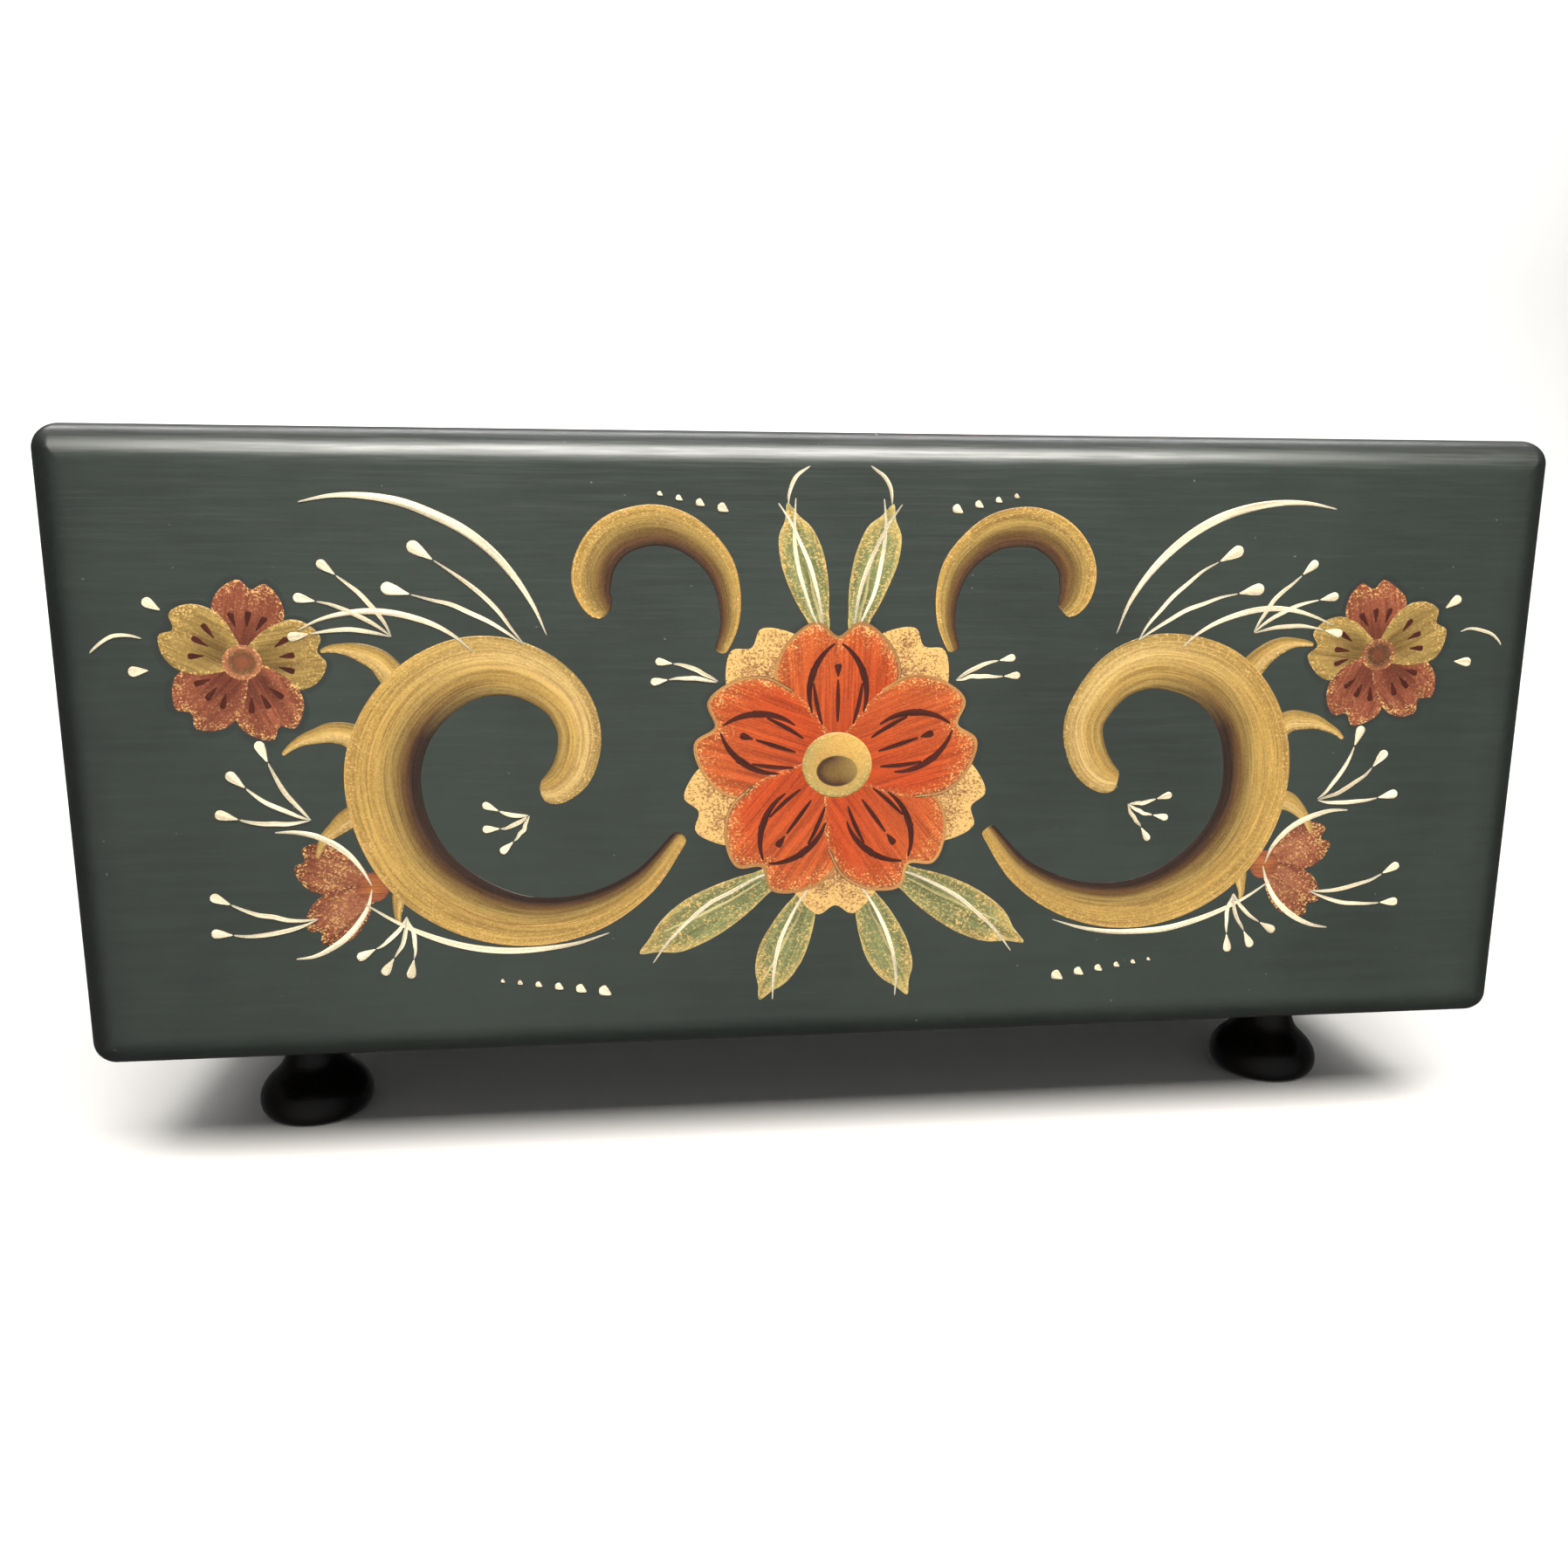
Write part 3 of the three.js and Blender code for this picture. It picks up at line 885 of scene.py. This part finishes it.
def scrolls():
    work = Brushwork("c_scrolls", 0.02)
    body = curl(SCROLL, 205, 395, [46, 43, 38, 32, 26, 20, 14, 9], [2, 6, 9, 9.6, 8.6, 7, 5.6, 5.4, 3.6], 19)
    comma = curl(CURL, 215, -250, [26, 23, 19, 15, 11, 8], [1.6, 3.6, 5, 5.4, 5, 3])
    stations = [(0, SHADED), (0.6, SHADED), (0.78, PLAIN), (1, PLAIN)]
    for side in SIDES:
        for heading, length in FEATHERS:
            broad(work, feather(heading, length), side, PLAIN, 11, 0.4, (0.2, 0.05, 0), 1.0)
        broad(work, body, side, stations, 19, 0.35, (0.16, 0.03, 0), 1.2)
        broad(work, comma, side, CURL_TONES, 15, 0.35, (0, 0.03, 0.2), 1.1)
        for k in range(3):
            mark = curl(SCROLL, 250 + 34 * k, 24, [45 - 2 * k, 43 - 2 * k], [0.1, 0.4, 0.1], 6)
            work.liner(placed(mark, side), GOLD)
    work.done(brushwork)


LEAF_TONES = [(0, OLIVE), (0.35, LEAF), (0.8, LEAF), (0.95, YELLOW), (1, LEAF_PALE)]


def leaf(work, base, heading, size, side):
    """A leaf of (length, half width) that grows from base."""
    outline = placed(petal_outline(base, heading, *size, LEAF_TIP), side)
    x, z = step_from(base, heading, 8)
    work.petal((side * x, z), outline, LEAF_TONES, glint=(0.1, 0.25, 0.3))


def lower_leaves():
    work = Brushwork("lower_leaves", 0.01)
    lines = Brushwork("lower_leaf_lines", 0.05, 0.002)
    for side in SIDES:
        for base, heading, size in [((6, 46), -66, (32, 6)), ((14, 50), -30, (40, 6.5))]:
            leaf(work, base, heading, size, side)
            rib = bent(step_from(base, heading, 6), heading, size[0] * 0.75, 6, 0.25)
            lines.liner(placed(rib, side), LEAF_PALE, 0.03)
            lines.liner(placed(bent(base, heading + 20, size[0] * 1.1, -44), side))
    work.done(brushwork)
    lines.done(brushwork)


def top_leaves():
    work = Brushwork("top_leaves", 0.02)
    lines = Brushwork("top_leaf_lines", 0.05, 0.002)
    base, heading = (4, 112), 74
    for side in SIDES:
        leaf(work, base, heading, (31, 5.6), side)
        for offset, bend in [(16, -34), (-17, 36)]:
            lines.liner(placed(bent(base, heading + offset, 36, bend), side))
        lines.liner(placed(bent(step_from(base, heading, 34), 80, 12, 70, 0.5), side))
        lines.liner(placed(bent(base, heading, 22, 6, 0.25), side), LEAF_PALE, 0.03)
    work.done(brushwork)
    lines.done(brushwork)


def centre_flower():
    back = Brushwork("centre_flower_back", 0.03)
    gilt = [(0, RUST_DEEP), (0.45, RUST), (0.62, ROSE), (0.8, BRONZE), (1, BRONZE)]
    for heading in headings(126, PETALS):
        outline = petal_outline(FLOWER, heading, 41, 13, 0.06)
        back.petal(step_from(FLOWER, heading, 8), outline, gilt, ragged=0.6, glint=(0, 0.5, 0.85))
    back.done(brushwork)
    front = Brushwork("centre_flower_petals", 0.07)
    warm = [(0, ORANGE_DEEP), (0.2, ORANGE), (0.85, ORANGE), (0.96, AMBER), (1, ROSE)]
    for heading in headings(90, PETALS):
        outline = petal_outline(FLOWER, heading, *PETAL)
        focus = step_from(FLOWER, heading, 6)
        glow = (AMBER, heading + 50)
        front.petal(focus, outline, warm, ragged=0.3, glint=(0, 0.04, 0.28), light=glow)
        front.liner([(x, z, 0.5) for x, z in outline[2:-2]], RIM, 0.01, dry=0.74, ragged=0.6)
    front.done(brushwork)
    heart = Brushwork("centre_flower_heart", 0.15)
    disc = [(0, GOLD), (0.6, GOLD), (0.9, YELLOW), (1, OCHRE)]
    dip = [(0, OCHRE_DEEP), (0.4, OCHRE_DEEP), (0.72, BROWN), (0.9, UMBER), (1, OCHRE_DEEP)]
    hollow = (FLOWER[0], FLOWER[1] - 1.6)
    heart.petal(FLOWER, ring(FLOWER, 9.4, 8.8), disc, ragged=0.2, glint=(0, 0.1, 0.25), light=(HONEY, 60))
    heart.petal(hollow, ring(hollow, 5.6, 4.2), dip, ragged=0.1, light=(OCHRE, 20))
    heart.done(brushwork)


def veins():
    """Dark lines and seeds inside the middle flower's petals."""
    work = Brushwork("centre_flower_lines", 0.16, 0.002)
    for heading in headings(90, PETALS):
        for spread in (-13, 0, 13):
            root = step_from(FLOWER, heading + spread * 1.6, 11)
            line = bent(root, heading + spread * 1.5, 12, -spread, 0.4)
            work.liner(line, LINE, 0.03, ragged=0.25)
            tip = line[-1][:2]
            work.drop(step_from(tip, heading, 4), tip, 1.0, LINE, 0.03)
        for turn in SIDES:
            way = heading + 26 * turn
            arc = bent(step_from(FLOWER, way, 15), way, 21, -75 * turn, 0.7)
            work.liner(arc, LINE, 0.03, ragged=0.25)
    work.done(brushwork)


def side_flowers():
    petals = Brushwork("side_flower_petals", 0.03)
    lines = Brushwork("side_flower_lines", 0.08, 0.002)
    rust = [(0, RUST_DEEP), (0.25, RUST_DEEP), (0.7, RUST), (1, RUST)]
    gold = [(0, OCHRE_DEEP), (0.25, OCHRE_DEEP), (0.7, OCHRE), (1, OCHRE)]
    for side in SIDES:
        for k, heading in enumerate(headings(100, PETALS)):
            outline = placed(petal_outline(SIDE_FLOWER, heading, *SIDE_PETAL), side)
            x, z = step_from(SIDE_FLOWER, heading, 4)
            tones = gold if k in (1, 4) else rust
            glow = (tones[-1][1], 60)
            petals.petal((side * x, z), outline, tones, ragged=0.5, glint=(0, 0.1, 0.3), light=glow)
            for spread in (-20, 0, 20):
                head = step_from(SIDE_FLOWER, heading + spread, 13)
                tail = step_from(SIDE_FLOWER, heading + spread * 0.8, 8.5)
                lines.drop(*placed([head, tail], side), 0.8, LINE, 0.03)
        centre = (side * SIDE_FLOWER[0], SIDE_FLOWER[1])
        button = [(0, RUST), (0.6, BROWN), (0.8, ROSE), (1, ROSE)]
        petals.petal(centre, ring(centre, 4.8, 4.4), button, glint=(0, 0.1, 0.3))
    petals.done(brushwork)
    lines.done(brushwork)


def buds():
    petals = Brushwork("bud_petals", 0.02)
    lines = Brushwork("bud_lines", 0.06, 0.002)
    tones = [(0, RUST), (0.4, ROSE), (0.75, RUST), (1, RUST_DEEP)]
    for side in SIDES:
        for heading in (24, -40):
            outline = placed(petal_outline(BUD, heading, 20, 6.6), side)
            x, z = step_from(BUD, heading, 4)
            petals.petal((side * x, z), outline, tones, ragged=0.5, glint=(0.1, 0.2, 0.3))
        cup = (side * BUD[0], BUD[1])
        petals.petal(cup, ring(cup, 4.2, 4), [(0, AMBER_DEEP), (1, RUST)], ragged=0.4)
        for heading, bend in [(78, -78), (-88, 78)]:
            lines.liner(placed(bent(BUD, heading, 30, bend, 0.9), side))
    petals.done(brushwork)
    lines.done(brushwork)


def fan(work, root, ways, length, bend, side, drop=1.3):
    """Fine cream lines from one root, each with a teardrop of half width drop at its end."""
    for way in ways:
        line = placed(bent(root, way, length, bend), side)
        work.liner(line)
        (x, z, _), (px, pz, _) = line[-1], line[-2]
        heading = math.degrees(math.atan2(z - pz, x - px))
        work.drop(step_from((x, z), heading, 4.5 * drop), (x, z), drop)


def dot_row(work, start, way, radii, side):
    """Dots that get smaller as they leave start."""
    gap = 0.0
    for radius in radii:
        x, z = step_from(start, way, gap)
        work.dot((side * x, z), radius)
        gap += 3.2 + 1.6 * radius


def tendrils():
    work = Brushwork("cream_tendrils", 0.1, 0.003)
    for side in SIDES:
        stem = bent((92, 108), 50, 46, -75, 0.8, 9)
        work.liner(placed(stem, side), crown=0.16)
        work.liner(placed(bent((60, 34), -25, 66, 60, 0.9, 9), side), crown=0.16)
        long_one = bent((74, 112), 78, 74, -88, 1.3, 10)
        work.liner(placed(long_one, side), crown=0.2)
        fan(work, (80, 110), (62, 42), 30, -30, side, 1.6)
        fan(work, (80, 66), (-8, -42, -76), 8, 30, side, 1.0)
        fan(work, (112, 112), (70, 46, 22), 20, -34, side, 1.2)
        fan(work, (112, 40), (-120, -95, -70), 12, 40, side, 1.2)
        fan(work, (31, 100), (38, 18), 13, -25, side, 1.0)
        work.liner(placed(bent((171, 112), 30, 14, -80, 0.4), side))
        for way in (35, -5):
            head = step_from(SIDE_FLOWER, way, 27)
            tail = step_from(SIDE_FLOWER, way, 22)
            work.drop(*placed([head, tail], side), 1.3)
        fan(work, (134, 66), (40, 12, -16), 18, 30, side, 1.3)
        fan(work, (134, 40), (-30, -8), 22, 34, side, 1.2)
        dot_row(work, (62, 18), 8, (1.9, 1.6, 1.3, 1.0, 0.8, 0.6), side)
        dot_row(work, (30, 144), 12, (1.6, 1.3, 1.0, 0.8), side)
    work.done(brushwork)


def decoration():
    glazes()
    scrolls()
    lower_leaves()
    top_leaves()
    side_flowers()
    buds()
    centre_flower()
    veins()
    tendrils()


# ---------------------------------------------------------------- floor, light and camera


def sweep():
    """A pale floor that curves up into a backdrop well behind the tray."""
    s = Shader("pale_floor")
    paint = s.finish(colour("dddcda"), 0.8)
    half, back, bend, top = 6.0, 3.0, 0.8, 4.0
    level = CAD_BOX[0].z
    line = [(-half, level)]
    for step in range(13):
        a = math.radians(90 * step / 12)
        line.append((back - bend + bend * math.sin(a), level + bend * (1 - math.cos(a))))
    line.append((back, top))
    vertices = [(x, y, z) for y, z in line for x in (-half, half)]
    faces = [(2 * i, 2 * i + 1, 2 * i + 3, 2 * i + 2) for i in range(len(line) - 1)]
    mesh = bpy.data.meshes.new("floor")
    mesh.from_pydata(vertices, [], faces)
    mesh.materials.append(paint)
    mesh.polygons.foreach_set("use_smooth", [True] * len(mesh.polygons))
    floor = bpy.data.objects.new("floor", mesh)
    floor.visible_glossy = False
    bpy.context.scene.collection.objects.link(floor)


def sky(dim, bright):
    """White light all round: bright in front and overhead, dim at the sides, behind and below."""
    world = bpy.data.worlds.new("studio")
    world.use_nodes = True
    tree = world.node_tree
    background = tree.nodes["Background"]
    background.inputs["Color"].default_value = (1, 1, 1, 1)
    towards = tree.nodes.new("ShaderNodeTexCoord")
    parts = tree.nodes.new("ShaderNodeSeparateXYZ")
    forward = tree.nodes.new("ShaderNodeMath")
    forward.operation = "MULTIPLY"
    forward.inputs[1].default_value = -1.0
    open_side = tree.nodes.new("ShaderNodeMath")
    open_side.operation = "MAXIMUM"
    fade = tree.nodes.new("ShaderNodeMapRange")
    fade.inputs["From Min"].default_value = 0.35
    fade.inputs["From Max"].default_value = 1.0
    fade.inputs["To Min"].default_value = dim
    fade.inputs["To Max"].default_value = bright
    for source, target in [
        (towards.outputs["Generated"], parts.inputs[0]),
        (parts.outputs["Y"], forward.inputs[0]),
        (forward.outputs[0], open_side.inputs[0]),
        (parts.outputs["Z"], open_side.inputs[1]),
        (open_side.outputs[0], fade.inputs["Value"]),
        (fade.outputs[0], background.inputs["Strength"]),
    ]:
        tree.links.new(source, target)
    bpy.context.scene.world = world


def softbox(name, at, aim, size, watts, tint=(1, 1, 1)):
    data = bpy.data.lights.new(name, "AREA")
    data.shape = "RECTANGLE"
    data.size, data.size_y = size
    data.energy = watts
    data.color = tint
    lamp = bpy.data.objects.new(name, data)
    lamp.location = at
    lamp.rotation_euler = (Vector(aim) - Vector(at)).to_track_quat("-Z", "Y").to_euler()
    bpy.context.scene.collection.objects.link(lamp)


def lights():
    view = bpy.context.scene.view_settings
    view.view_transform = "Standard"
    sky(0.08, 0.55)
    softbox("overhead", (0.03, -0.72, 1.02), (0.02, -0.1, 0.15), (1.12, 0.5), 28, (1, 0.97, 0.92))
    softbox("backdrop", (0, 1.5, 2.6), (0, 3.0, 0.9), (4, 1), 165)


def camera():
    """The photograph's viewpoint, solved from the board's four corners and the feet."""
    data = bpy.data.cameras.new("camera")
    data.sensor_width = 36.0
    data.lens = 30.1
    made = bpy.data.objects.new("camera", data)
    made.location = (-52.9 * MM, -439.3 * MM, 174.2 * MM)
    turn, tilt, lean = math.radians(-6.64), math.radians(90 - 11.43), math.radians(0.30)
    aim = Matrix.Rotation(turn, 3, "Z") @ Matrix.Rotation(tilt, 3, "X") @ Matrix.Rotation(lean, 3, "Z")
    made.rotation_euler = aim.to_euler()
    bpy.context.scene.collection.objects.link(made)
    bpy.context.scene.camera = made


woodwork()
decoration()
sweep()
lights()
camera()
